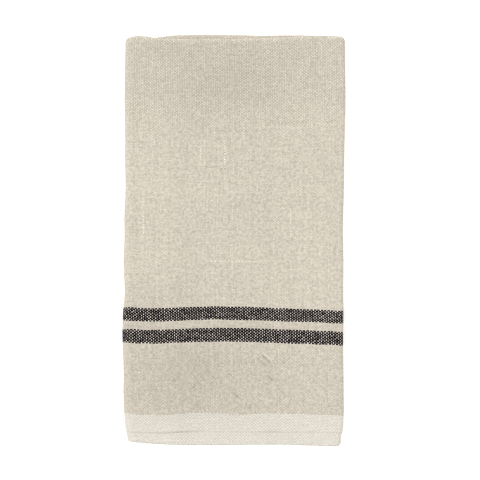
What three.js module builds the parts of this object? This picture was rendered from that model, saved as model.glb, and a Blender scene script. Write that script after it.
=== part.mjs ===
// A linen napkin, folded for the table and lying flat. Millimetres, +Z up, its length along Y.
// The cloth is folded crosswise in half, hem to hem, then lengthwise in half and in half again,
// so eight layers lie on each other. The hems are at -Y and the cross fold is at +Y.

import * as THREE from 'three';

// The cloth
const clothThickness = 1.0;
const hemDepth = 7.9;
const hemExtraThickness = 0.15; // a hem is turned cloth, a little thicker than the rest
const hemStepLength = 1;
const layerGap = 0.4; // between neighbouring layers

// The folded napkin, seen from above
const foldedLength = 240; // from the hem edges to the cross fold
const foldedWidth = 128.5; // from the left fold to the right fold
const cornerRadius = { foldLeft: 3, foldRight: 3, hemLeft: 1, hemRight: 2.3 };

// The lengthwise folds
const outerFoldFlattening = 0.8; // how far the outer fold bulges, against a half circle
const innerFoldSetback = 3.6; // the inner fold lies this far inside the outer one
const lowerEdgeSetback = 4; // the two free edges lie this far inside the right fold
const upperEdgeSetback = 2.2;

// Height that the folded layers gain, as a share of the pressed height
const hemSwell = 0.2; // the doubled hems make that end thicker
const hemSwellLength = 20;
const foldSpring = 0.06; // the folds at the two sides spring up a little

// How far the left and right folds stand out of a straight line, by the distance from the hem edge
const sideWander = [
  { at: 0, left: -2.4, right: -1.9 },
  { at: 5, left: -1.9, right: -1.85 },
  { at: 7.5, left: -1.45, right: -1.4 },
  { at: 9.5, left: -1.0, right: -0.7 },
  { at: 12, left: -0.4, right: -0.4 },
  { at: 20, left: 0.2, right: -0.1 },
  { at: 31, left: 0.6, right: -0.15 },
  { at: 43, left: 0.5, right: -0.25 },
  { at: 57, left: 1.0, right: -0.45 },
  { at: 66, left: 1.2, right: -0.4 },
  { at: 78, left: 0.85, right: -0.25 },
  { at: 90, left: -0.1, right: -0.4 },
  { at: 108, left: 0.55, right: -0.3 },
  { at: 122, left: 0, right: -0.55 },
  { at: 134, left: 0.1, right: -0.5 },
  { at: 150, left: -0.55, right: 0 },
  { at: 168, left: -0.35, right: 0.15 },
  { at: 184, left: -0.4, right: 0.5 },
  { at: 202, left: 0, right: 0.9 },
  { at: 220, left: -0.35, right: 0.7 },
  { at: 240, left: -0.6, right: 0.55 },
];

// How far the cross fold and the hem edge stand above their straight lines. "along" counts the
// stretches of the section below: from 2 to 3 it runs over the top panel, from left to right.
const endWander = [
  { along: 0, fold: -1.2, hem: 1.6 },
  { along: 0.5, fold: -0.9, hem: 1.2 },
  { along: 1, fold: -0.8, hem: 2.4 },
  { along: 1.5, fold: -0.8, hem: 2.9 },
  { along: 2, fold: -0.7, hem: 2.6 },
  { along: 2.06, fold: -0.75, hem: 2.2 },
  { along: 2.13, fold: -2.2, hem: 1.8 },
  { along: 2.25, fold: -2.5, hem: 1.0 },
  { along: 2.4, fold: -2.5, hem: 0.8 },
  { along: 2.55, fold: -1.9, hem: 1.0 },
  { along: 2.75, fold: -1.5, hem: 0.9 },
  { along: 2.9, fold: -1.1, hem: 0.4 },
  { along: 3, fold: -0.8, hem: 0.1 },
  { along: 3.5, fold: -0.7, hem: 0.1 },
  { along: 4, fold: -0.7, hem: 0.3 },
  { along: 4.3, fold: -0.35, hem: 1.2 },
  { along: 4.6, fold: -0.1, hem: 1.6 },
  { along: 4.75, fold: -0.2, hem: 1.8 },
  { along: 5, fold: -1.2, hem: 2.6 },
  { along: 6, fold: -1.3, hem: 2.6 },
  { along: 7, fold: -1.1, hem: 1.4 },
];

// The section across the folded cloth, from the lower free edge to the upper one.
// Level 0 is the lowest. A run lies at one level, and a fold turns from one level to another.
const section = [
  { name: 'bottom run', from: 0, to: 0, start: 'lowerEdge', end: 'outerFold', steps: 4, crowding: 0.5 },
  { name: 'outer fold', from: 0, to: 3, centre: 'outerFold', bulge: -outerFoldFlattening, steps: 8 },
  { name: 'top run', from: 3, to: 3, start: 'outerFold', end: 'rightFold', steps: 11, crowding: 0.75 },
  { name: 'right fold', from: 3, to: 2, centre: 'rightFold', bulge: 1, steps: 6 },
  { name: 'third run', from: 2, to: 2, start: 'rightFold', end: 'innerFold', steps: 5, crowding: 0.5 },
  { name: 'inner fold', from: 2, to: 1, centre: 'innerFold', bulge: -1, steps: 6 },
  { name: 'second run', from: 1, to: 1, start: 'innerFold', end: 'upperEdge', steps: 4, crowding: 0.5 },
];
const outerFoldMiddle = 1.5; // along the section
const rightFoldMiddle = 3.5;

// Rows of points on one ply, by the distance from the hem edge, and steps round the cross fold
const hemRows = [0, 0.9, 2.6, 5.5, 7.4, 8.4, 12, 20];
const middleRows = [34, 50, 64, 77, 90, 106, 122, 138, 154, 172, 190, 208];
const foldRows = [223, 231, 237];
const crossFoldSteps = 6;

// Worked out from the sizes above
const pairThickness = 2 * clothThickness + layerGap;
const levelPitch = pairThickness + layerGap;
const plyOffset = (clothThickness + layerGap) / 2;
const crossFoldCentre = foldedLength - pairThickness / 2;
const plyRows = [...hemRows, ...middleRows, ...foldRows];

// A smooth curve through a table's rows
function readTable(rows, key, column, at) {
  const last = rows.length - 1;
  if (at <= rows[0][key]) return rows[0][column];
  if (at >= rows[last][key]) return rows[last][column];
  const i = rows.findIndex((row) => row[key] > at) - 1;
  const slope = (a, b) => (rows[b][column] - rows[a][column]) / (rows[b][key] - rows[a][key]);
  const step = rows[i + 1][key] - rows[i][key];
  const t = (at - rows[i][key]) / step;
  const startRise = slope(Math.max(i - 1, 0), i + 1) * step;
  const endRise = slope(i, Math.min(i + 2, last)) * step;
  const rise = rows[i + 1][column] - rows[i][column];
  const squared = 3 * rise - 2 * startRise - endRise;
  const cubed = startRise + endRise - 2 * rise;
  return rows[i][column] + startRise * t + squared * t ** 2 + cubed * t ** 3;
}

// How far a round corner of this radius draws in, at a distance from the end
function cornerInset(radius, distance) {
  const inside = THREE.MathUtils.clamp(radius - distance, 0, radius);
  return radius - Math.sqrt(radius ** 2 - inside ** 2);
}

// Where the folded cloth begins and ends at one place along its section
function endsAt(along) {
  return {
    hem: readTable(endWander, 'along', 'hem', along),
    fold: foldedLength + readTable(endWander, 'along', 'fold', along),
  };
}

// Where the folds turn and the free edges lie, at a distance y from the hem edges
function anchorsAt(y) {
  const leftEnds = endsAt(outerFoldMiddle);
  const rightEnds = endsAt(rightFoldMiddle);
  const left = -foldedWidth / 2 - readTable(sideWander, 'at', 'left', y);
  const right = foldedWidth / 2 + readTable(sideWander, 'at', 'right', y);
  const leftInset = cornerInset(cornerRadius.foldLeft, leftEnds.fold - y)
    + cornerInset(cornerRadius.hemLeft, y - leftEnds.hem);
  const rightInset = cornerInset(cornerRadius.foldRight, rightEnds.fold - y)
    + cornerInset(cornerRadius.hemRight, y - rightEnds.hem);
  const outerReach = (3 * levelPitch * outerFoldFlattening + pairThickness) / 2;
  return {
    outerFold: left + leftInset + outerReach,
    innerFold: left + innerFoldSetback + outerReach,
    rightFold: right - rightInset - (levelPitch + pairThickness) / 2,
    upperEdge: right - upperEdgeSetback,
    lowerEdge: right - lowerEdgeSetback,
  };
}

// The point and the direction out of the right side, on the middle line of the section
function sectionPoint(stretch, t, anchors) {
  const start = pairThickness / 2 + stretch.from * levelPitch;
  if (stretch.from === stretch.to) {
    const x = THREE.MathUtils.lerp(anchors[stretch.start], anchors[stretch.end], t);
    return { x, z: start, nx: 0, nz: Math.sign(anchors[stretch.end] - anchors[stretch.start]) };
  }
  const height = ((stretch.to - stretch.from) * levelPitch) / 2;
  const bulge = stretch.bulge * Math.abs(height);
  const angle = Math.PI * t;
  const dx = bulge * Math.cos(angle);
  const dz = height * Math.sin(angle);
  const length = Math.hypot(dx, dz);
  return {
    x: anchors[stretch.centre] + bulge * Math.sin(angle),
    z: start + height * (1 - Math.cos(angle)),
    nx: -dz / length,
    nz: dx / length,
  };
}

// Every column of points across the folded cloth, closer together beside the folds
function sectionColumns() {
  const columns = [];
  section.forEach((stretch, index) => {
    const first = index === 0 ? 0 : 1;
    for (let i = first; i <= stretch.steps; i += 1) {
      const even = i / stretch.steps;
      const shift = ((stretch.crowding ?? 0) * Math.sin(2 * Math.PI * even)) / (2 * Math.PI);
      columns.push({ stretch, t: even - shift, along: index + even - shift });
    }
  });
  return columns;
}

// Every row of points along the cloth, from the front hem over the cross fold to the back hem
function clothRows() {
  const rows = plyRows.map((y) => ({ y, offset: plyOffset, ny: 0, nOffset: 1 }));
  for (let i = 0; i <= crossFoldSteps; i += 1) {
    const angle = Math.PI * (0.5 - i / crossFoldSteps);
    const ny = Math.cos(angle);
    const nOffset = Math.sin(angle);
    rows.push({ y: crossFoldCentre + plyOffset * ny, offset: plyOffset * nOffset, ny, nOffset });
  }
  plyRows.toReversed().forEach((y) => rows.push({ y, offset: -plyOffset, ny: 0, nOffset: -1 }));
  return rows;
}

// How much higher the layers lie than pressed ones
function loft(x, y) {
  const hem = hemSwell * (1 - THREE.MathUtils.smoothstep(y, 0, hemSwellLength));
  const sides = foldSpring * Math.min((2 * x) / foldedWidth, 1) ** 2;
  return 1 + hem + sides;
}

// One point of the cloth: face is 1 on its right side and -1 on its wrong side
function clothPoint(column, row, face) {
  const pastHem = THREE.MathUtils.smoothstep(row.y - hemDepth, -hemStepLength / 2, hemStepLength / 2);
  const half = (face * (clothThickness + hemExtraThickness * (1 - pastHem))) / 2;
  const own = row.y + half * row.ny;
  const ends = endsAt(column.along);
  const y = own + THREE.MathUtils.lerp(ends.hem, ends.fold - foldedLength, row.y / foldedLength);
  const middle = sectionPoint(column.stretch, column.t, anchorsAt(y));
  const offset = row.offset + half * row.nOffset;
  const x = middle.x + middle.nx * offset;
  const z = Math.max(middle.z + middle.nz * offset, 0);
  return new THREE.Vector3(x, y, z * loft(x, y));
}

// The closed surface: right side, wrong side and the four narrow edges
function buildCloth() {
  const columns = sectionColumns();
  const rows = clothRows();
  const points = [];
  for (const face of [1, -1]) {
    for (const column of columns) {
      for (const row of rows) points.push(clothPoint(column, row, face));
    }
  }
  const triangles = [];
  const vertex = (i, j, face) => (face > 0 ? 0 : points.length / 2) + i * rows.length + j;
  const addQuad = (a, b, c, d) => triangles.push(a, b, c, a, c, d);
  const lastColumn = columns.length - 1;
  const lastRow = rows.length - 1;
  for (let i = 0; i < lastColumn; i += 1) {
    for (let j = 0; j < lastRow; j += 1) {
      addQuad(vertex(i, j, 1), vertex(i + 1, j, 1), vertex(i + 1, j + 1, 1), vertex(i, j + 1, 1));
      addQuad(vertex(i, j, -1), vertex(i, j + 1, -1), vertex(i + 1, j + 1, -1), vertex(i + 1, j, -1));
    }
  }
  const closeEdge = (a, b) => addQuad(vertex(...a, 1), vertex(...b, 1), vertex(...b, -1), vertex(...a, -1));
  for (let i = 0; i < lastColumn; i += 1) {
    closeEdge([i + 1, 0], [i, 0]);
    closeEdge([i, lastRow], [i + 1, lastRow]);
  }
  for (let j = 0; j < lastRow; j += 1) {
    closeEdge([0, j], [0, j + 1]);
    closeEdge([lastColumn, j + 1], [lastColumn, j]);
  }
  const geometry = new THREE.BufferGeometry().setFromPoints(points);
  geometry.setIndex(triangles);
  geometry.computeBoundingBox();
  const centre = geometry.boundingBox.getCenter(new THREE.Vector3());
  geometry.translate(-centre.x, -centre.y, 0);
  geometry.computeVertexNormals();
  return geometry;
}

const linen = new THREE.MeshStandardMaterial({ color: 0xd2c9ba, roughness: 0.95, metalness: 0 });
const napkin = new THREE.Mesh(buildCloth(), linen);
napkin.name = 'napkin';

const group = new THREE.Group();
group.add(napkin);

export default group;
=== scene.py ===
# A linen table napkin with two dark stripes, a pale woven border and stitched hems.
# It is folded crosswise in half, then lengthwise in half twice, and lies flat.
# Lengths in the tables are millimetres: x across the folded napkin, y from its hem edges to its
# cross fold. "along" counts the stretches of the section, as in foldedNapkin["section"].

import math

import bmesh
import bpy
from mathutils import Matrix, Vector, noise


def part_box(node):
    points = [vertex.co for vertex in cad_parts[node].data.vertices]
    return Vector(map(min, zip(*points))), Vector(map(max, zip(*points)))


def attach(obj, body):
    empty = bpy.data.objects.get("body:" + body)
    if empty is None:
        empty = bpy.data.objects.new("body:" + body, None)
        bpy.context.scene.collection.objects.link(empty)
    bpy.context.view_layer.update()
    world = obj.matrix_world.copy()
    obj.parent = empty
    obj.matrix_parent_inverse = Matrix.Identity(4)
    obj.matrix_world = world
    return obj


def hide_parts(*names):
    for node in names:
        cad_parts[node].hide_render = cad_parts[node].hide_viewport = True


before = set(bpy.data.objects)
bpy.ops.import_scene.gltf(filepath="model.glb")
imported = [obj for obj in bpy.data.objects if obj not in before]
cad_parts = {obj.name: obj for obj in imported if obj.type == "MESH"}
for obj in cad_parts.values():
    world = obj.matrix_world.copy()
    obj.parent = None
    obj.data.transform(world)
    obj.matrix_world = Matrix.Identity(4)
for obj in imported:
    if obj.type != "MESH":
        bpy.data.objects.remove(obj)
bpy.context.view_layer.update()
mm = 0.001
print("frame loaded")


def table(names, *rows):
    return [dict(zip(names.split(), row)) for row in rows]


def readTable(rows, key, column, at):           # a smooth curve through a table's rows
    last = len(rows) - 1
    if at <= rows[0][key]:
        return rows[0][column]
    if at >= rows[last][key]:
        return rows[last][column]
    i = next(n for n, row in enumerate(rows) if row[key] > at) - 1

    def slope(a, b):
        return (rows[b][column] - rows[a][column]) / (rows[b][key] - rows[a][key])

    step = rows[i + 1][key] - rows[i][key]
    t = (at - rows[i][key]) / step
    startRise = slope(max(i - 1, 0), i + 1) * step
    endRise = slope(i, min(i + 2, last)) * step
    rise = rows[i + 1][column] - rows[i][column]
    squared = 3 * rise - 2 * startRise - endRise
    cubed = startRise + endRise - 2 * rise
    return rows[i][column] + startRise * t + squared * t ** 2 + cubed * t ** 3


def mix(a, b, t):
    return a + (b - a) * t


def clamp(value, low=0.0, high=1.0):
    return max(low, min(high, value))


def smooth(value, low, high):
    t = clamp((value - low) / (high - low))
    return t * t * (3 - 2 * t)


def bell(distance, width):
    return math.exp(-(distance / width) ** 2)


def srgb(red, green, blue):
    channels = [c / 255 for c in (red, green, blue)]
    return [c / 12.92 if c <= 0.04045 else ((c + 0.055) / 1.055) ** 2.4 for c in channels] + [1]


# The cloth and the way it is folded
cloth = {
    "thickness": 1.0,
    "hemExtra": 0.15,          # a hem is turned cloth, a little thicker
    "hemStep": 1.0,            # the length over which it gets thinner
    "hemPastStitches": 1.0,    # the turned edge lies this far beyond the stitches
    "stitchLineWidth": 0.55,   # half the width over which the stitches draw the cloth in
    "layerGap": 0.4,
    "rim": 0.42,               # how far the rounded edges bulge
    "rimSteps": 4,
    "flat": (498, 477),        # the napkin laid out
}
foldedNapkin = {
    "length": 240,
    "width": 128.5,
    "corners": {"foldLeft": 3, "foldRight": 3, "hemLeft": 1, "hemRight": 2.3},
    "outerFoldFlattening": 0.8,
    "innerFoldSetback": 3.6,
    "lowerEdgeSetback": 4,
    "upperEdgeSetback": 2.2,
    "hemSwell": 0.2,
    "hemSwellLength": 20,
    "foldSpring": 0.06,
    "foldHighlight": 0.11,          # painted highlight: how much paler the cross fold is drawn at its edge
    "foldHighlightWidth": 1.6,
    "evenBelow": 1,            # the broad unevenness starts at this height
    "outerFoldLevels": 3,      # how many levels the outer fold spans
    "outerFoldMiddle": 1.5,
    "rightFoldMiddle": 3.5,
}
# The section across the napkin: levels are counted from below, and steps crowd at the folds
foldedNapkin["section"] = [
    {"from": 0, "to": 0, "start": "lowerEdge", "end": "outerFold", "steps": 20, "crowding": 0.5},
    {"from": 0, "to": 3, "centre": "outerFold", "bulge": -foldedNapkin["outerFoldFlattening"], "steps": 22},
    {"from": 3, "to": 3, "start": "outerFold", "end": "rightFold", "steps": 92, "crowding": 0.3},
    {"from": 3, "to": 2, "centre": "rightFold", "bulge": 1, "steps": 14},
    {"from": 2, "to": 2, "start": "rightFold", "end": "innerFold", "steps": 12, "crowding": 0.5},
    {"from": 2, "to": 1, "centre": "innerFold", "bulge": -1, "steps": 10},
    {"from": 1, "to": 1, "start": "innerFold", "end": "upperEdge", "steps": 12, "crowding": 0.5},
]

# How far the two long sides stand out of a straight line
sideWander = table(
    "at left right",
    (0, -2.4, -1.9), (5, -1.9, -1.85), (7.5, -1.45, -1.4), (9.5, -1.0, -0.7), (12, -0.4, -0.4),
    (20, 0.2, -0.1), (31, 0.6, -0.15), (43, 0.5, -0.25), (57, 1.0, -0.45), (66, 1.2, -0.4),
    (78, 0.85, -0.25), (90, -0.1, -0.4), (108, 0.55, -0.3), (122, 0, -0.55), (134, 0.1, -0.5),
    (150, -0.55, 0), (168, -0.35, 0.15), (184, -0.4, 0.5), (202, 0, 0.9), (220, -0.35, 0.7),
    (240, -0.6, 0.55),
)

# How far the cross fold and the hem edge stand above their straight lines
endWander = table(
    "along fold hem",
    (0, -1.0, 1.6), (0.5, -0.9, 1.2), (0.87, -1.4, 1.9), (1, -1.0, 2.4), (1.5, -0.6, 2.7),
    (2, -0.2, 2.4), (2.05, -0.6, 1.95), (2.11, -1.45, 1.5), (2.18, -1.7, 1.05),
    (2.3, -1.8, 0.85), (2.45, -1.8, 0.9), (2.6, -1.4, 1.1), (2.75, -0.9, 1.1),
    (2.88, -0.05, 0.65), (3, -0.4, 0.25), (3.5, -0.3, 0.2),
    (4, -0.3, 0.3), (4.1, 0.2, 0.6), (4.24, 0.5, 1.0), (4.33, 0.15, 1.25), (4.44, 0.2, 1.4),
    (4.52, 0.75, 1.5), (4.7, 0.7, 1.7), (4.82, 0.4, 2.0), (4.86, 0.1, 2.15),
    (4.9, -0.7, 2.3), (4.95, -1.2, 2.4), (5, -1.4, 2.5), (6, -1.1, 2.6), (7, -0.9, 1.4),
)

# The line of stitches, by its distance from the hem edge, and how deep it is drawn in
stitchLine = table(
    "along at depth",
    (0, 7.9, 0.1), (1.5, 6.2, 0.1), (2, 6.2, 0.12), (2.12, 6.7, 0.16), (2.19, 7.3, 0.33),
    (2.23, 7.7, 0.4), (2.27, 8.03, 0.28), (2.32, 8.32, 0.19), (2.36, 8.34, 0.04), (2.43, 8.1, 0.01),
    (2.5, 7.9, 0.03), (2.59, 7.75, 0.05), (2.63, 7.7, 0.13), (2.68, 7.7, 0.15),
    (2.73, 7.5, 0.05), (2.86, 7.8, 0.05), (3, 7.9, 0.07), (7, 7.9, 0.1),
)

# How far the weft lines are bowed towards the cross fold: at the border, in the stripes and at the
# top of the upper stripe
weftBow = table(
    "along border stripes top",
    (1.5, -0.5, -0.2, -0.3), (2.0, -0.6, 0.1, 0.0), (2.06, -0.9, 0.2, 0.1),
    (2.17, 0.2, 1.1, 0.9), (2.29, 1.4, 1.95, 1.7), (2.4, 1.2, 2.35, 2.1),
    (2.51, 0.4, 2.1, 1.8), (2.62, 0.8, 1.6, 1.2), (2.74, 0.8, 0.9, 0.4),
    (2.85, 0.7, 0.55, -0.1), (3, 0.5, 0.2, -0.45), (3.5, 0.3, 0.1, -0.3),
)
# Where those lines lie above the hem, and where the bow is gone
weftBowEnds = {"border": 18, "stripes": 69, "top": 79, "gone": 175}

# Soft creases left by the press: short troughs, and ridges where the depth is below 0
creases = table(
    "x0 y0 x1 y1 width depth",
    (15.2, 54.7, 24.8, 46.9, 0.9, 0.22), (20.4, 42.5, 24.8, 36.4, 0.8, 0.16),
    (-24.3, 53.8, -20.4, 47.7, 0.9, 0.16), (-29.5, 41.7, -24.7, 36.8, 0.8, 0.16),
    (18.1, 158.0, 26.4, 148.8, 0.9, 0.2), (24, 146, 30, 149.5, 0.8, -0.14),
    (36, 52, 55, 30, 1.6, -0.16), (-52, 33, -30, 25, 1.5, 0.12), (8, 40, 3, 26, 1.2, 0.12),
    (-40, 190, -18, 176, 1.4, 0.1), (-8, 128, 6, 119, 1.2, 0.12), (38, 205, 52, 190, 1.4, -0.1),
    (-50, 118, -41, 101, 1.2, 0.1), (42, 112, 50, 92, 1.3, 0.12), (-20, 96, 14, 99, 1.8, 0.1),
)
creaseFade = 0.3               # the share of its length over which a crease fades at each end

# Broad unevenness of the pile, as waves of a height and a length
waves = table("height length seed", (0.24, 44, 3.1), (0.09, 17, 7.7), (0.04, 7.5, 12.3))

# Softly darker and lighter places, by their place on the folded napkin
tonePatches = table(
    "x y halfWidth halfHeight tone",
    (0, 226, 80, 44, -0.065), (-12, 208, 38, 30, -0.035), (-30, 38, 42, 30, -0.085),
    (10, 30, 90, 34, -0.045), (50, 110, 24, 110, 0.025), (-56, 135, 14, 60, 0.02),
    (-45, 158, 34, 28, 0.025), (-42, 86, 30, 15, -0.055), (-20, 51, 48, 13, -0.035),
    (48, 106, 15, 38, 0.02), (0, 2.5, 110, 5, 0.02), (0, 69.3, 110, 3.6, -0.065),
)
patchFalloff = 1.5             # how quickly they fade out
toneWaves = table("tone size", (0.02, 23), (0.012, 9))

# Yarns that show: a thick or thin stretch of one warp or weft yarn, by the place of its middle
slubMarks = table(
    "way x y length tone width",
    ("warp", -19.3, 170, 14, 0.2, 0.06), ("warp", -4.9, 171, 15, 0.2, 0.06),
    ("warp", 5.6, 184, 11, 0.16, 0.05), ("warp", -52.6, 129.5, 15, 0.22, 0.07),
    ("warp", 33, 131, 18, 0.12, 0.04), ("warp", -44.6, 86, 24, 0.1, 0.04),
    ("weft", 3, 166.5, 32, -0.16, -0.06), ("weft", -5, 161.8, 9, -0.16, -0.06),
    ("weft", 7, 184, 44, -0.18, -0.05), ("weft", -54, 177, 16, -0.16, -0.05),
    ("weft", 25, 186.4, 28, 0.2, 0.08), ("weft", -1, 108.1, 32, 0.26, 0.1),
    ("weft", 12, 106.3, 20, -0.14, -0.05), ("weft", 34, 86.5, 30, 0.12, 0.05),
    ("weft", 27, 188.2, 14, -0.15, -0.06), ("weft", -56, 42.7, 3.5, 0.35, 0.18),
    ("weft", -54.5, 37, 5, 0.16, 0.08), ("warp", 32.1, 43, 3.5, 0.3, 0.12),
    ("warp", 16.5, 77, 2.2, 0.5, 0.2), ("warp", -50.5, 63.6, 2.4, 0.3, 0.15),
    ("warp", 47.3, 75.6, 2.2, 0.35, 0.15),
)

# Painted shade and highlight of the press creases: sharp little dark and light lines that run across the
# yarns
creaseShadingMarks = table(
    "x0 y0 x1 y1 width tone",
    (15.3, 54.1, 21.9, 48.0, 0.55, -0.28), (16.8, 55.0, 22.9, 49.4, 0.5, 0.2),
    (13.0, 51.8, 18.6, 47.2, 0.5, -0.24), (19.6, 41.8, 22.6, 38.2, 0.6, -0.28),
    (-1.2, 31.8, 3.6, 27.8, 0.6, -0.26), (17.4, 24.8, 22.2, 27.5, 0.55, 0.24),
    (-36.2, 29.9, -35.4, 29.3, 0.8, -0.16), (-25.2, 33.4, -22.2, 36.6, 0.5, -0.14),
    (37.0, 42.6, 41.6, 36.6, 0.5, 0.14), (39.2, 42.0, 44.4, 35.6, 0.45, 0.1),
    (-6.4, 41.2, -2.8, 36.8, 0.5, 0.13), (-22.5, 26.0, -19.0, 21.6, 0.6, -0.16),
    (-37.0, 24.0, -31.0, 30.5, 0.5, 0.1), (-15.5, 44.5, -11.0, 39.5, 0.5, -0.12),
    (6.4, 25.6, 10.6, 20.8, 0.5, -0.14), (24.5, 36.0, 30.5, 29.0, 0.5, -0.12),
)

# How clearly the weave shows, up the folded napkin, and how unevenly
clearness = table("y clear", (0, 0.7), (55, 0.6), (95, 0.45), (178, 0.45), (202, 1.65), (240, 1.65))
clearWave = {"height": 0.3, "size": 16}
print("tables read")

# Worked out from the sizes above
pairThickness = 2 * cloth["thickness"] + cloth["layerGap"]
levelPitch = pairThickness + cloth["layerGap"]
plyOffset = (cloth["thickness"] + cloth["layerGap"]) / 2
crossFoldCentre = foldedNapkin["length"] - pairThickness / 2
pileHeight = (foldedNapkin["outerFoldLevels"] + 1) * levelPitch

# How finely the rows of points follow each other: up to where, and in what steps
frontSpacing = table("until step", (5.4, 0.8), (9.8, 0.4), (232, 1.36), (crossFoldCentre, 0.8))
backSpacing = table("until step", (14, 1.5), (224, 17), (crossFoldCentre, 3))
turnSteps = 10


def cornerInset(radius, distance):
    inside = clamp(radius - distance, 0, radius)
    return radius - math.sqrt(radius ** 2 - inside ** 2)


def endsAt(along):
    hem = readTable(endWander, "along", "hem", along)
    return hem, foldedNapkin["length"] + readTable(endWander, "along", "fold", along)


leftHem, leftFold = endsAt(foldedNapkin["outerFoldMiddle"])
rightHem, rightFold = endsAt(foldedNapkin["rightFoldMiddle"])


def anchorsAt(y):                               # where the folds turn and the free edges lie
    corner = foldedNapkin["corners"]
    left = -foldedNapkin["width"] / 2 - readTable(sideWander, "at", "left", y)
    right = foldedNapkin["width"] / 2 + readTable(sideWander, "at", "right", y)
    leftInset = cornerInset(corner["foldLeft"], leftFold - y)
    leftInset += cornerInset(corner["hemLeft"], y - leftHem)
    rightInset = cornerInset(corner["foldRight"], rightFold - y)
    rightInset += cornerInset(corner["hemRight"], y - rightHem)
    outerFoldHeight = foldedNapkin["outerFoldLevels"] * levelPitch
    reach = (outerFoldHeight * foldedNapkin["outerFoldFlattening"] + pairThickness) / 2
    return {
        "outerFold": left + leftInset + reach,
        "innerFold": left + foldedNapkin["innerFoldSetback"] + reach,
        "rightFold": right - rightInset - (levelPitch + pairThickness) / 2,
        "upperEdge": right - foldedNapkin["upperEdgeSetback"],
        "lowerEdge": right - foldedNapkin["lowerEdgeSetback"],
    }


def sectionPoint(stretch, t, anchors):          # x, z and the direction out of the right side
    start = pairThickness / 2 + stretch["from"] * levelPitch
    if stretch["from"] == stretch["to"]:
        first, last = anchors[stretch["start"]], anchors[stretch["end"]]
        return mix(first, last, t), start, 0.0, math.copysign(1, last - first)
    height = (stretch["to"] - stretch["from"]) * levelPitch / 2
    bulge = stretch["bulge"] * abs(height)
    angle = math.pi * t
    dx, dz = bulge * math.cos(angle), height * math.sin(angle)
    length = math.hypot(dx, dz)
    x = anchors[stretch["centre"]] + bulge * math.sin(angle)
    return x, start + height * (1 - math.cos(angle)), -dz / length, dx / length


def creaseDepth(x, y):
    depth = 0
    for crease in creases:
        dx, dy = crease["x1"] - crease["x0"], crease["y1"] - crease["y0"]
        length = math.hypot(dx, dy)
        t = ((x - crease["x0"]) * dx + (y - crease["y0"]) * dy) / length ** 2
        if -creaseFade < t < 1 + creaseFade:
            off = abs((x - crease["x0"]) * dy - (y - crease["y0"]) * dx) / length
            fade = smooth(t, -creaseFade, creaseFade) * (1 - smooth(t, 1 - creaseFade, 1 + creaseFade))
            depth += crease["depth"] * bell(off, crease["width"]) * fade
    return depth


def pileTop(x, y):                              # what the top of the pile gains, in mm
    rise = 0
    for wave in waves:
        place = Vector((x, y, wave["seed"] * wave["length"])) / wave["length"]
        rise += wave["height"] * noise.noise(place)
    return rise - creaseDepth(x, y)


def loft(x, y):                                 # how much higher the layers lie than pressed ones
    hem = foldedNapkin["hemSwell"] * (1 - smooth(y, 0, foldedNapkin["hemSwellLength"]))
    return 1 + hem + foldedNapkin["foldSpring"] * min(2 * x / foldedNapkin["width"], 1) ** 2


def clothPoint(column, row, face, outX=0.0, outY=0.0):    # face: 1 the right side, -1 the wrong side
    seam = row["y"] - column["stitchAt"]
    pastHem = smooth(seam - cloth["hemPastStitches"], -cloth["hemStep"] / 2, cloth["hemStep"] / 2)
    drawnIn = column["stitchDepth"] * bell(seam, cloth["stitchLineWidth"])
    half = face * ((cloth["thickness"] + cloth["hemExtra"] * (1 - pastHem)) / 2 - drawnIn)
    own = row["y"] + half * row["ny"] - outY
    up = row["y"] / foldedNapkin["length"]
    y = own + mix(column["hem"], column["fold"] - foldedNapkin["length"], up)
    x, z, nx, nz = sectionPoint(column["stretch"], column["t"], anchorsAt(y))
    offset = row["offset"] + half * row["nOffset"]
    x += nx * offset + outX
    z = max(z + nz * offset, 0)
    uneven = pileTop(x, y) * smooth(z, foldedNapkin["evenBelow"], pileHeight)
    return Vector((x, y, z * loft(x, y) + uneven))


def sectionColumns():
    columns = []
    for index, stretch in enumerate(foldedNapkin["section"]):
        for i in range(1 if index else 0, stretch["steps"] + 1):
            even = i / stretch["steps"]
            t = even - stretch.get("crowding", 0) * math.sin(2 * math.pi * even) / (2 * math.pi)
            columns.append({"stretch": stretch, "t": t, "along": index + t})
    for column in columns:
        along = column["along"]
        column["hem"], column["fold"] = endsAt(along)
        column["stitchAt"] = readTable(stitchLine, "along", "at", along)
        column["stitchDepth"] = readTable(stitchLine, "along", "depth", along)
    return columns


def spaced(spacing):                            # distances from the hem edge to the cross fold
    places, start = [], cloth["rim"]
    for stretch in spacing:
        length = stretch["until"] - start
        count = max(1, round(length / stretch["step"]))
        places += [start + length * i / count for i in range(count)]
        start = stretch["until"]
    return places


def flatRow(y, ply):                            # ply: 1 the front one, -1 the back one
    return {"y": y, "offset": ply * plyOffset, "ny": 0, "nOffset": ply}


def clothRows():                                # from the front hem over the cross fold to the back hem
    rows = [flatRow(y, 1) for y in spaced(frontSpacing)]
    for i in range(turnSteps + 1):
        angle = math.pi * (0.5 - i / turnSteps)
        ny, nOffset = math.cos(angle), math.sin(angle)
        y, offset = crossFoldCentre + plyOffset * ny, plyOffset * nOffset
        rows.append({"y": y, "offset": offset, "ny": ny, "nOffset": nOffset})
    rows += [flatRow(y, -1) for y in reversed(spaced(backSpacing))]
    return rows


columns = sectionColumns()
rows = clothRows()


def measureAcross():                            # distance over the right side, from the lower free edge
    middle = flatRow(foldedNapkin["length"] / 2, 1)
    across, before = 0, None
    for column in columns:
        here = clothPoint(column, middle, 1)
        across += (here - before).length if before else 0
        column["u"], before = across, here


def measureAlong():                             # distance over the right side, from the front hem edge
    half = cloth["thickness"] / 2
    along, before = 0, None
    for row in rows:
        here = Vector((row["y"] + half * row["ny"], row["nOffset"] * (plyOffset + half)))
        along += (here - before).length if before else row["y"]
        row["v"], before = along, here


measureAcross()
measureAlong()
clothLength = rows[-1]["v"] + cloth["rim"]


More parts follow.
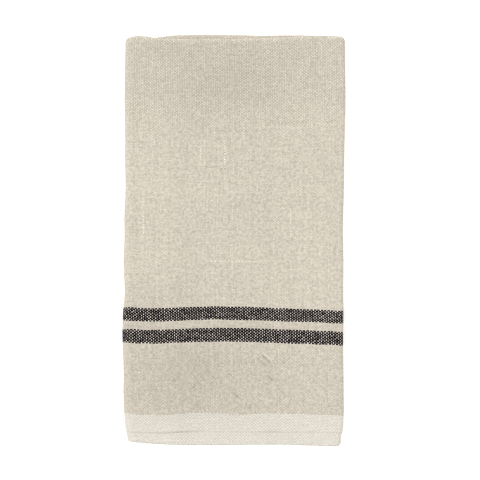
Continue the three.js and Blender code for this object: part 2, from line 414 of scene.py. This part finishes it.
def bowAt(along, y):
    bow = {name: readTable(weftBow, "along", name, along) for name in ("border", "stripes", "top")}
    bow["gone"] = 0
    if y < weftBowEnds["border"]:
        return bow["border"] * y / weftBowEnds["border"]
    names = list(weftBowEnds)
    for name, after in zip(names, names[1:]):
        if y < weftBowEnds[after]:
            return mix(bow[name], bow[after], smooth(y, weftBowEnds[name], weftBowEnds[after]))
    return 0


def toneAt(point):
    tone = sum(wave["tone"] * noise.noise(point / wave["size"]) for wave in toneWaves)
    for patch in tonePatches:
        across = (point.x - patch["x"]) / patch["halfWidth"]
        up = (point.y - patch["y"]) / patch["halfHeight"]
        tone += patch["tone"] * math.exp(-(across ** 2 + up ** 2) * patchFalloff)
    return tone


# The cloth's parts laid out on one flat map for baking, in pixels of a 1024 map. The parts that
# show are the largest, so that their weave stays sharp.
flatMap = {
    "size": 1024,
    "top": {"x": 8, "y": 8, "scale": 4.0},
    "bottom": {"x": 606, "y": 8, "scale": 2.6},
    "inside": {"x": 860, "y": 664, "scale": 0.64},
    "back": {"x": 600, "y": 910, "scale": 0.44},
    "wrongSide": {"x": 600, "y": 664, "scale": 0.49},
    "rimStep": 0.33,           # mm on the map for each step around the rounded edges
}


def partAt(i, j):                               # the part of the map that a patch of cloth lies on
    if rows[j]["nOffset"] <= -1:
        return "back"
    along = (columns[i]["along"] + columns[i + 1]["along"]) / 2
    if along < 1:
        return "bottom"
    if along < 4:                               # the outer fold, the top panel and the right fold
        return "top"
    return "inside"


def flatPlaces(spread):
    lowest = {}
    for part, corners in spread:
        known = lowest.get(part, corners[0])
        lowest[part] = [min(known[n], *(corner[n] for corner in corners)) for n in range(2)]
    for part, corners in spread:
        place = flatMap[part]
        for corner in corners:
            for n, start in enumerate("xy"):
                yield (place[start] + (corner[n] - lowest[part][n]) * place["scale"]) / flatMap["size"]


def clearAt(point):
    clear = readTable(clearness, "y", "clear", point.y)
    return clear + clearWave["height"] * noise.noise(point / clearWave["size"])


def buildCloth():
    points, uvs, tonesAndFoldHighlight, seams, drawnIn, clear = [], [], [], [], [], []

    def add(column, row, face, outX=0.0, outY=0.0):
        point = clothPoint(column, row, face, outX, outY)
        bow = bowAt(column["along"], row["y"]) if row["nOffset"] > 0 else 0
        back = row["v"] > clothLength / 2
        points.append(point)
        v = row["v"] - bow + (outY if back else -outY)
        uvs.append(((column["u"] + abs(outX)) * mm, v * mm))
        # a painted highlight along the edge of the cross fold, added to the random tone
        foldHighlightMask = bell(crossFoldCentre + plyOffset - row["y"], foldedNapkin["foldHighlightWidth"])
        tonesAndFoldHighlight.append(toneAt(point) + foldedNapkin["foldHighlight"] * foldHighlightMask)
        clear.append(clearAt(point))
        seams.append(row["y"] - outY - column["stitchAt"])
        drawnIn.append(column["stitchDepth"])

    for face in (1, -1):
        for column in columns:
            for row in rows:
                add(column, row, face)
    lastColumn, lastRow = len(columns) - 1, len(rows) - 1
    half = len(columns) * len(rows)

    def vertex(i, j, face):
        return (0 if face > 0 else half) + i * len(rows) + j

    faces, spread = [], []
    for i in range(lastColumn):
        for j in range(lastRow):
            around = [(i, j), (i + 1, j), (i + 1, j + 1), (i, j + 1)]
            faces.append([vertex(a, b, 1) for a, b in around])
            spread.append((partAt(i, j), [(columns[a]["u"], rows[b]["v"]) for a, b in around]))
            faces.append([vertex(a, b, -1) for a, b in reversed(around)])
            spread.append(("wrongSide", [(-columns[a]["u"], rows[b]["v"]) for a, b in reversed(around)]))

    # The rounded edges: rings of points from the right side to the wrong side
    border = [(i, 0) for i in range(lastColumn)] + [(lastColumn, j) for j in range(lastRow)]
    border += [(i, lastRow) for i in range(lastColumn, 0, -1)] + [(0, j) for j in range(lastRow, 0, -1)]
    rings = [[vertex(i, j, 1) for i, j in border]]
    for step in range(1, cloth["rimSteps"]):
        angle = math.pi * step / cloth["rimSteps"]
        out = cloth["rim"] * math.sin(angle)
        first = len(points)
        for i, j in border:
            outX = out if i in (0, lastColumn) else 0
            outY = out if j in (0, lastRow) else 0
            add(columns[i], rows[j], math.cos(angle), outX, outY)
        rings.append(list(range(first, len(points))))
    rings.append([vertex(i, j, -1) for i, j in border])

    def rimPlace(k, step):
        i, j = border[k]
        outU = (i == lastColumn) - (i == 0)
        outV = (j == lastRow) - (j == 0)
        reach = flatMap["rimStep"] * step
        return columns[i]["u"] + outU * reach, rows[j]["v"] + outV * reach

    for step, (upper, lower) in enumerate(zip(rings, rings[1:])):
        for k in range(len(border)):
            after = (k + 1) % len(border)
            faces.append([upper[after], upper[k], lower[k], lower[after]])
            i = min(border[k][0], border[after][0], lastColumn - 1)
            j = min(border[k][1], border[after][1], lastRow - 1)
            corners = ((after, step), (k, step), (k, step + 1), (after, step + 1))
            spread.append((partAt(i, j), [rimPlace(*corner) for corner in corners]))

    # Moved to where the CAD piece is, and from millimetres to metres
    low = Vector([min(p[n] for p in points) for n in range(3)])
    high = Vector([max(p[n] for p in points) for n in range(3)])
    cadLow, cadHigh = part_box("napkin")
    shift = (cadLow + cadHigh) / 2 - (low + high) / 2 * mm
    shift.z = 0
    mesh = bpy.data.meshes.new("napkin_cloth")
    mesh.from_pydata([p * mm + shift for p in points], [], faces)
    layer = mesh.uv_layers.new(name="cloth")
    layer.data.foreach_set("uv", [c for loop in mesh.loops for c in uvs[loop.vertex_index]])
    mesh.uv_layers.new(name="OFBake").data.foreach_set("uv", list(flatPlaces(spread)))
    for name, values in (("tone", tonesAndFoldHighlight), ("clear", clear), ("seam", seams), ("drawn_in", drawnIn)):
        mesh.attributes.new(name, "FLOAT", "POINT").data.foreach_set("value", values)
    mesh.polygons.foreach_set("use_smooth", [True] * len(mesh.polygons))
    piece = bpy.data.objects.new("napkin_cloth", mesh)
    bpy.context.scene.collection.objects.link(piece)
    return piece, shift


napkinCloth, clothShift = buildCloth()
print("cloth folded:", len(napkinCloth.data.polygons), "faces")

# The stitches of the two hems
stitch = {
    "pitch": 2.7,
    "length": 2.15,
    "radius": 0.17,
    "proud": 0.05,             # how far the middle of the thread stands above the cloth
    "sides": 6,
    "roundedEnd": 0.5,         # as a share of the radius
    "grooveShade": 0.42,            # half the width of the painted shade beside the thread
    # the thread painted lit and shaded: the shaded colour in the hollows of its twist, the pale one on its
    # ridges
    "shadedColour": srgb(229, 222, 211),
    "paleColour": srgb(246, 241, 232),
    "twists": 26,
    "twistShade": 0.7,
    "relief": 0.05 * mm,
    "grainScale": 900.0,       # grains to the metre
    "grainTone": 0.5,
    "roughness": 0.75,
    "grainRoughness": 0.15,
    "gloss": 0.3,
}


def modelStitch():                              # one capsule of thread along X, at the origin
    bpy.ops.object.select_all(action="DESELECT")
    bpy.ops.mesh.primitive_cylinder_add(
        vertices=stitch["sides"], radius=stitch["radius"] * mm, depth=stitch["length"] * mm,
        rotation=(0, math.pi / 2, 0),
    )
    capsule = bpy.context.active_object
    bpy.ops.object.transform_apply(location=False, rotation=True, scale=False)
    bpy.ops.object.mode_set(mode="EDIT")
    bpy.ops.mesh.select_all(action="DESELECT")
    bpy.ops.object.mode_set(mode="OBJECT")
    for face in capsule.data.polygons:
        face.select = abs(face.normal.x) > 0.9      # the two ends
    bpy.ops.object.mode_set(mode="EDIT")
    bpy.ops.mesh.bevel(offset=stitch["radius"] * stitch["roundedEnd"] * mm, segments=1, affect="EDGES")
    bpy.ops.object.mode_set(mode="OBJECT")
    capsule.data.polygons.foreach_set("use_smooth", [True] * len(capsule.data.polygons))
    return capsule


def stitchPlaces():                             # the middle, way and outward direction of each stitch
    for ply in (1, -1):
        for face in (1, -1):
            u, i = stitch["pitch"] / 2, 0
            while u < columns[-1]["u"] - stitch["pitch"] / 2:
                while columns[i + 1]["u"] < u:
                    i += 1
                t = (u - columns[i]["u"]) / (columns[i + 1]["u"] - columns[i]["u"])
                at = mix(columns[i]["stitchAt"], columns[i + 1]["stitchAt"], t)
                row = flatRow(at, ply)
                start, stop = (clothPoint(column, row, face) for column in columns[i:i + 2])
                inner = clothPoint(columns[i], row, 0)
                yield start.lerp(stop, t), (stop - start).normalized(), (start - inner).normalized()
                u += stitch["pitch"]


def sewHems():
    capsule = modelStitch()
    joined = bmesh.new()
    for place, along, out in stitchPlaces():
        lowest = stitch["radius"] + stitch["proud"] + abs(along.z) * stitch["length"] / 2
        place.z = max(place.z, lowest)
        side = out.cross(along).normalized()
        out = along.cross(side)
        turn = Matrix((along, side, out)).transposed().to_4x4()
        one = capsule.data.copy()
        middle = (place + out * stitch["proud"]) * mm + clothShift
        one.transform(Matrix.Translation(middle) @ turn)
        joined.from_mesh(one)
        bpy.data.meshes.remove(one)
    mesh = bpy.data.meshes.new("hem_stitches")
    joined.to_mesh(mesh)
    joined.free()
    bpy.data.objects.remove(capsule)
    piece = bpy.data.objects.new("hem_stitches", mesh)
    bpy.context.scene.collection.objects.link(piece)
    return piece


hemStitches = sewHems()
print("hems sewn:", len(hemStitches.data.polygons), "faces")


class Field:                                    # a value or colour that changes over a surface
    def __init__(self, tree, socket=None):
        self.tree = tree
        self.socket = socket

    def node(self, kind, settings=None, inputs=None, output=0):
        node = self.tree.nodes.new("ShaderNode" + kind)
        for name, value in (settings or {}).items():
            setattr(node, name, value)
        for key, value in (inputs or {}).items():
            known = {s.name: s for s in reversed(node.inputs)} | {s.identifier: s for s in node.inputs}
            socket = node.inputs[key] if isinstance(key, int) else known[key]
            if isinstance(value, Field):
                self.tree.links.new(value.socket, socket)
            else:
                socket.default_value = value
        return Field(self.tree, node.outputs[output])

    def output(self, name):
        return Field(self.tree, self.socket.node.outputs[name])

    def maths(self, operation, *others, held=False):
        values = dict(enumerate([self, *others]))
        return self.node("Math", {"operation": operation, "use_clamp": held}, values)

    def __add__(self, other):
        return self.maths("ADD", other)

    def __sub__(self, other):
        return self.maths("SUBTRACT", other)

    def __rsub__(self, other):
        return (self * -1) + other

    def __mul__(self, other):
        return self.maths("MULTIPLY", other)

    def __truediv__(self, other):
        return self.maths("DIVIDE", other)

    def __gt__(self, other):
        return self.maths("GREATER_THAN", other)

    def __lt__(self, other):
        return self.maths("LESS_THAN", other)

    __radd__ = __add__
    __rmul__ = __mul__

    def held(self):                             # kept between 0 and 1
        return self.maths("ADD", 0, held=True)

    def blend(self, a, b):                      # colour a where this is 0, colour b where it is 1
        colours = {"Factor_Float": self, "A_Color": a, "B_Color": b}
        return self.node("Mix", {"data_type": "RGBA"}, colours, "Result")

    def scaled(self, amount):                   # a colour made brighter or darker
        return self.node("VectorMath", {"operation": "SCALE"}, {0: self, "Scale": amount})


def startMaterial(name):
    material = bpy.data.materials.new(name)
    material.use_nodes = True
    material.node_tree.nodes.clear()
    return material, Field(material.node_tree)


def finishMaterial(paint, surface):
    end = paint.tree.nodes.new("ShaderNodeOutputMaterial")
    paint.tree.links.new(surface.socket, end.inputs["Surface"])


# The weave of the linen
weave = {
    "warpPitch": 1.0 * mm,
    "weftPitch": 0.81 * mm,
    "warpHalf": 0.5,           # half a yarn's width, as a share of its pitch
    "weftHalf": 0.5,
    "crimp": 0.5,              # how far the yarns rise and sink, in halves of their thickness
    "crossingEdge": 6,         # how sharply one yarn gives way to the other
    "wander": 0.8 * mm,        # how far the yarns stray
    "wanderSize": 7 * mm,      # and over what length
    "warpColour": srgb(222, 215, 200),
    "weftColour": srgb(207, 197, 181),
    "stripeColour": srgb(14, 8, 13),
    "stripeWarpColour": srgb(222, 213, 203),
    "borderColour": srgb(238, 234, 225),
    "firstPick": 0.45,         # mm from the hem's edge, as the stripes and the border
    "stripes": ((58.8, 66.9), (71.7, 79.8)),
    "border": 17.6,
    "stripeWeft": 0.2,         # the stripes' weft is this much thicker
    "stripeCover": 0.76,       # and covers the warp this much more,
    "stripeEdgeCover": 0.4,    # but less in its outermost picks
    "borderEvenness": 0.6,     # how much more even in tone the border is
    "warpTone": 0.09,          # how unlike each other two warp yarns are
    "weftTone": 0.06,
    "slubs": 0.2,              # how much paler a yarn is where it thickens,
    "warpSlubWidth": 0.14,     # and how much wider
    "weftSlubWidth": 0.2,
    "warpSlubRate": 0.11,      # how often it thickens, by the yarns that it crosses
    "weftSlubRate": 0.09,
    "slubSpread": 3.7,         # how far apart two yarns lie in the noise that thickens them
    "markFade": 1.3,           # a mark is gone where its half lengths, squared, reach this
    "mottle": 0.31,
    "mottleSize": 1.7 * mm,
    "mottleRelief": 3,
    "crossing": 0.21,          # how unlike each other two crossings are,
    "stripeCrossing": 0.56,    # and how much more so in the stripes
    "crossingHeight": 0.38,
    "unevenness": 1.35,        # yarns and mottle show this much,
    "clearEvenness": 0.45,     # and less where the weave is clear
    "hollow": 0.1,             # how deep the darkest hollows lie
    "hollowSlope": 0.9,        # how quickly it gets lighter above them
    "hollowShade": 0.14,       # how much darker they are painted than the tops of the yarns, as shade
    "middleShade": 0.93,
    "fibres": 7,               # in the width of a yarn
    "fibreRate": 1.1,          # along a yarn, by the yarns that it crosses
    "fibreShade": 0.95,
    "fibreTone": 0.1,
    "fibreRelief": 0.3,
    "roughness": 0.86,
    "fibreRoughness": 0.1,
    "relief": 0.12 * mm,
    "seeds": {"warpSlub": 0.5, "weftSlub": 400.5, "warpTone": 3.3, "weftTone": 801.7, "weftFibre": 90},
}


def placeOnTop(x, y):                           # cloth place of a point of the top panel, in metres
    top = [column for column in columns if 2 <= column["along"] <= 3]
    for left, right in zip(top, top[1:]):
        near, far = (clothPoint(column, flatRow(y, 1), 1).x for column in (left, right))
        if far >= x:
            t = (x - near) / (far - near)
            along, hem, fold = (mix(left[key], right[key], t) for key in ("along", "hem", "fold"))
            own = (y - hem) * foldedNapkin["length"] / (fold - hem)
            return mix(left["u"], right["u"], t) * mm, (own - bowAt(along, own)) * mm


def linenMaterial():
    material, paint = startMaterial("linen")
    seeds = weave["seeds"]

    def noiseAt(vector, scale, detail, output=0):
        inputs = {"Vector": vector, "Scale": scale, "Detail": detail}
        return paint.node("TexNoise", {"noise_dimensions": "2D"}, inputs, output)

    def pair(x, y):
        return paint.node("CombineXYZ", {}, {"X": x, "Y": y})

    def split(vector):
        x = paint.node("SeparateXYZ", {}, {"Vector": vector}, "X")
        return x, x.output("Y")

    def attribute(name):
        return paint.node("Attribute", {"attribute_name": name}, output="Fac")

    def slubOf(index, way, seed, rate):         # how thick a yarn is along its way, from -0.5 to 0.5
        return noiseAt(pair(index * weave["slubSpread"] + seed, way * rate), 1.0, 3.0) - 0.5

    def toneOf(index, seed):                    # a tone for each yarn, from -0.5 to 0.5
        return paint.node("TexWhiteNoise", {"noise_dimensions": "1D"}, {"W": index + seed}, "Value") - 0.5

    # The place in the cloth, and the yarns that cross there
    place = paint.node("UVMap", {"uv_map": "cloth"}, output="UV")
    across, along = split(place)
    wanderAcross, wanderAlong = split(noiseAt(place, 1 / weave["wanderSize"], 2.0, "Color"))
    warpPlace = (across + (wanderAcross - 0.5) * weave["wander"]) / weave["warpPitch"]
    fromFirst = along - weave["firstPick"] * mm
    weftPlace = (fromFirst + (wanderAlong - 0.5) * weave["wander"]) / weave["weftPitch"]
    warpIndex = warpPlace.maths("FLOOR")
    weftIndex = weftPlace.maths("FLOOR")
    a = warpPlace - warpIndex - 0.5
    b = weftPlace - weftIndex - 0.5

    # Each yarn has its own tone, and thickens and thins along its way. Each crossing differs a little.
    warpSlub = slubOf(warpIndex, weftPlace, seeds["warpSlub"], weave["warpSlubRate"])
    weftSlub = slubOf(weftIndex, warpPlace, seeds["weftSlub"], weave["weftSlubRate"])
    warpTone = toneOf(warpIndex, seeds["warpTone"])
    weftTone = toneOf(weftIndex, seeds["weftTone"])
    crossing = pair(warpIndex, weftIndex)
    random = paint.node("TexWhiteNoise", {"noise_dimensions": "2D"}, {"Vector": crossing}, "Color")
    randomHeight, randomTone = split(random)
    crossingTone = randomTone - 0.5
    crossingHeight = randomHeight - 0.5
    mottle = noiseAt(place, 1 / weave["mottleSize"], 2.0) - 0.5

    # The yarns that show, and the painted shade and highlight of the press creases
    marked = {
        "warp": {"index": warpIndex, "pitch": weave["warpPitch"], "tone": 0, "width": 0},
        "weft": {"index": weftIndex, "pitch": weave["weftPitch"], "tone": 0, "width": 0},
    }
    for mark in slubMarks:
        u, v = placeOnTop(mark["x"], mark["y"])
        yarn = marked[mark["way"]]
        yarnPlace, fromMiddle = (u, along - v) if mark["way"] == "warp" else (v, across - u)
        onYarn = yarn["index"].maths("COMPARE", math.floor(yarnPlace / yarn["pitch"]), 0.1)
        off = fromMiddle / (mark["length"] * mm / 2)
        here = onYarn * (weave["markFade"] - off * off).held()
        yarn["tone"] = here * mark["tone"] + yarn["tone"]
        yarn["width"] = here * mark["width"] + yarn["width"]
    # painted shade and highlight along the creases, dark and light lines side by side
    creaseShading = 0
    for mark in creaseShadingMarks:
        start, stop = (Vector(placeOnTop(mark[x], mark[y])) for x, y in (("x0", "y0"), ("x1", "y1")))
        way = (stop - start) / (stop - start).length_squared
        toU, toV = across - start.x, along - start.y
        t = toU * (way.x * 2) + toV * (way.y * 2) - 1
        off = (toU * way.y - toV * way.x) * ((stop - start).length / (mark["width"] * mm))
        here = (off * off * -1).maths("EXPONENT") * (weave["markFade"] - t * t).held()
        creaseShading = here * mark["tone"] + creaseShading

    # Which picks belong to the stripes and to the border
    pick = weave["weftPitch"] / mm
    fromHem = (weftIndex + 0.5) * pick + weave["firstPick"]
    fromHem = fromHem.maths("MINIMUM", clothLength - fromHem)
    stripe = sum((fromHem > first) * (fromHem < last) for first, last in weave["stripes"])
    inner = sum((fromHem > first + pick) * (fromHem < last - pick) for first, last in weave["stripes"])
    cover = stripe * weave["stripeEdgeCover"] + inner * (weave["stripeCover"] - weave["stripeEdgeCover"])
    border = fromHem < weave["border"]

    # The heights of a warp yarn and of a weft yarn, in halves of a yarn's thickness
    over = 1 - 2 * (warpIndex + weftIndex).maths("FLOORED_MODULO", 2)
    warpHalf = weave["warpHalf"] + warpSlub * weave["warpSlubWidth"] + marked["warp"]["width"]
    weftHalf = weave["weftHalf"] + weftSlub * weave["weftSlubWidth"] + marked["weft"]["width"]
    weftHalf = weftHalf + stripe * weave["stripeWeft"]
    warpAcross = a / warpHalf
    weftAcross = b / weftHalf
    warpHeight = 1 - warpAcross * warpAcross + over * (b * math.pi).maths("COSINE") * weave["crimp"]
    weftHeight = 1 - weftAcross * weftAcross - over * (a * math.pi).maths("COSINE") * weave["crimp"]
    warpHeight = warpHeight + crossingHeight * weave["crossingHeight"] - cover
    top = warpHeight.maths("MAXIMUM", weftHeight)
    isWarp = ((warpHeight - weftHeight) * weave["crossingEdge"] + 0.5).held()

    # Fine fibres along each yarn
    fibres, rate = weave["fibres"], weave["fibreRate"]
    warpFibre = noiseAt(pair(warpPlace * fibres, weftPlace * rate), 1.0, 2.0)
    weftFibre = noiseAt(pair(warpPlace * rate + seeds["weftFibre"], weftPlace * fibres), 1.0, 2.0)
    fibre = warpFibre * isWarp + weftFibre * (1 - isWarp)

    # Colour
    clear = attribute("clear")
    contrast = 1 + (clear - 1) * (1 - stripe) * (1 - border)
    weftColour = stripe.blend(weave["weftColour"], weave["stripeColour"])
    weftColour = border.blend(weftColour, weave["borderColour"])
    uneven = 1 - border * weave["borderEvenness"]
    warpLight = warpTone * weave["warpTone"] + warpSlub * weave["slubs"] + marked["warp"]["tone"]
    weftLight = weftTone * weave["weftTone"] + weftSlub * weave["slubs"] + marked["weft"]["tone"]
    light = warpLight * isWarp + weftLight * (1 - isWarp) + mottle * weave["mottle"]
    light = light * (weave["unevenness"] - clear * weave["clearEvenness"])
    light = light + crossingTone * (stripe * weave["stripeCrossing"] + weave["crossing"])
    # painted shade in the hollows of the weave, darker the deeper they lie
    raised = ((top + weave["hollow"]) * weave["hollowSlope"]).held()
    shade = weave["middleShade"] + (raised - 0.5) * contrast * weave["hollowShade"]
    light = (1 + light * uneven) * shade * (weave["fibreShade"] + fibre * weave["fibreTone"])
    # painted shade along the stitch line, as strong as the cloth is drawn in there
    seam = attribute("seam") / stitch["grooveShade"]
    grooveShade = (seam * seam * -1).maths("EXPONENT") * attribute("drawn_in")
    # the tone attribute brings random tone and the painted highlight at the cross fold's edge
    light = light * (1 + attribute("tone")) * (1 - grooveShade) * (1 + creaseShading)
    warpShare = (isWarp - 0.5) * contrast + 0.5
    warpColour = stripe.blend(weave["warpColour"], weave["stripeWarpColour"])
    colour = warpShare.blend(weftColour, warpColour).scaled(light)

    # Relief
    height = top * contrast + fibre * weave["fibreRelief"] + mottle * weave["mottleRelief"]
    bump = paint.node("Bump", {}, {"Strength": 1.0, "Distance": weave["relief"], "Height": height})
    roughness = weave["roughness"] + fibre * weave["fibreRoughness"]
    surface = paint.node("BsdfPrincipled", {}, {
        "Base Color": colour, "Roughness": roughness, "Normal": bump, "Specular IOR Level": 0.0,
    })
    finishMaterial(paint, surface)
    return material


def threadMaterial():
    material, paint = startMaterial("hem_thread")
    place = paint.node("UVMap", {"uv_map": "UVMap"}, output="UV")
    across = paint.node("SeparateXYZ", {}, {"Vector": place}, "X")
    twist = ((across * 2 + across.output("Y")) * stitch["twists"]).maths("SINE") * 0.5 + 0.5
    at = paint.node("TexCoord", output="Object")
    grain = paint.node("TexNoise", {}, {"Vector": at, "Scale": stitch["grainScale"], "Detail": 2.0})
    # painted shade in the hollows of the twist, with random tone from the grain
    twistShadeAndGrain = (twist * stitch["twistShade"] + grain * stitch["grainTone"]).held()
    colour = twistShadeAndGrain.blend(stitch["shadedColour"], stitch["paleColour"])
    bump = paint.node("Bump", {}, {"Strength": 1.0, "Distance": stitch["relief"], "Height": twist})
    roughness = stitch["roughness"] + grain * stitch["grainRoughness"]
    surface = paint.node("BsdfPrincipled", {}, {
        "Base Color": colour, "Roughness": roughness, "Normal": bump, "Specular IOR Level": stitch["gloss"],
    })
    finishMaterial(paint, surface)
    return material


napkinCloth.data.materials.append(linenMaterial())
hemStitches.data.materials.append(threadMaterial())
print("materials made")

# What each piece rides on, and what it stands for
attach(napkinCloth, "root")
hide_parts("napkin")
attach(hemStitches, "root")
[side * mm for side in cloth["flat"]]

# The studio: a pale floor, soft light and the camera straight above
studio = {
    "floorSize": 6.0,
    "floorDrop": 0.0001,       # just below the cloth
    "floorColour": (0.93, 0.93, 0.93, 1),
    "floorRoughness": 0.95,
    "floorGloss": 0.1,
    "floorGlow": 0.4,
    "lens": 180,
    "sensor": 36,
    "photoWidth": 480,         # pixels
    "pixel": 0.585,            # millimetres on the napkin
    "viewX": 3.63,
    "viewY": 0.07,
    "aimHeight": 8,
    "nearest": 0.01,
    "filterWidth": 1.3,        # pixels
    "worldStrength": 0.685,
    "boxPower": 25,
    "boxSize": 2.4,
    "boxAt": (-0.6, 0.6, 1.9),
}


def buildStudio():
    bpy.ops.object.select_all(action="DESELECT")
    bpy.ops.mesh.primitive_plane_add(size=studio["floorSize"], location=(0, 0, -studio["floorDrop"]))
    floor = bpy.context.active_object
    floor.name = "floor"
    material, paint = startMaterial("floor_white")
    surface = paint.node("BsdfPrincipled", {}, {
        "Base Color": studio["floorColour"],
        "Roughness": studio["floorRoughness"],
        "Specular IOR Level": studio["floorGloss"],
        "Emission Color": (1, 1, 1, 1),
        "Emission Strength": studio["floorGlow"],
    })
    finishMaterial(paint, surface)
    floor.data.materials.append(material)

    world = bpy.data.worlds.new("studio")
    world.use_nodes = True
    background = world.node_tree.nodes["Background"]
    background.inputs["Color"].default_value = (1, 1, 1, 1)
    background.inputs["Strength"].default_value = studio["worldStrength"]
    bpy.context.scene.world = world

    bpy.ops.object.light_add(type="AREA", location=studio["boxAt"])
    box = bpy.context.active_object
    box.name = "softbox"
    box.data.energy = studio["boxPower"]
    box.data.size = studio["boxSize"]
    box.rotation_euler = Vector(studio["boxAt"]).to_track_quat("Z", "Y").to_euler()

    viewWidth = studio["photoWidth"] * studio["pixel"] * mm
    away = viewWidth * studio["lens"] / studio["sensor"]
    place = (studio["viewX"] * mm, studio["viewY"] * mm, away + studio["aimHeight"] * mm)
    bpy.ops.object.camera_add(location=place, rotation=(0, 0, 0))
    camera = bpy.context.active_object
    camera.data.lens = studio["lens"]
    camera.data.sensor_width = studio["sensor"]
    camera.data.clip_start = studio["nearest"]
    bpy.context.scene.camera = camera
    bpy.context.scene.view_settings.view_transform = "Standard"
    bpy.context.scene.cycles.use_denoising = False     # it would smear the weave
    bpy.context.scene.cycles.filter_width = studio["filterWidth"]


buildStudio()
print("studio lit")
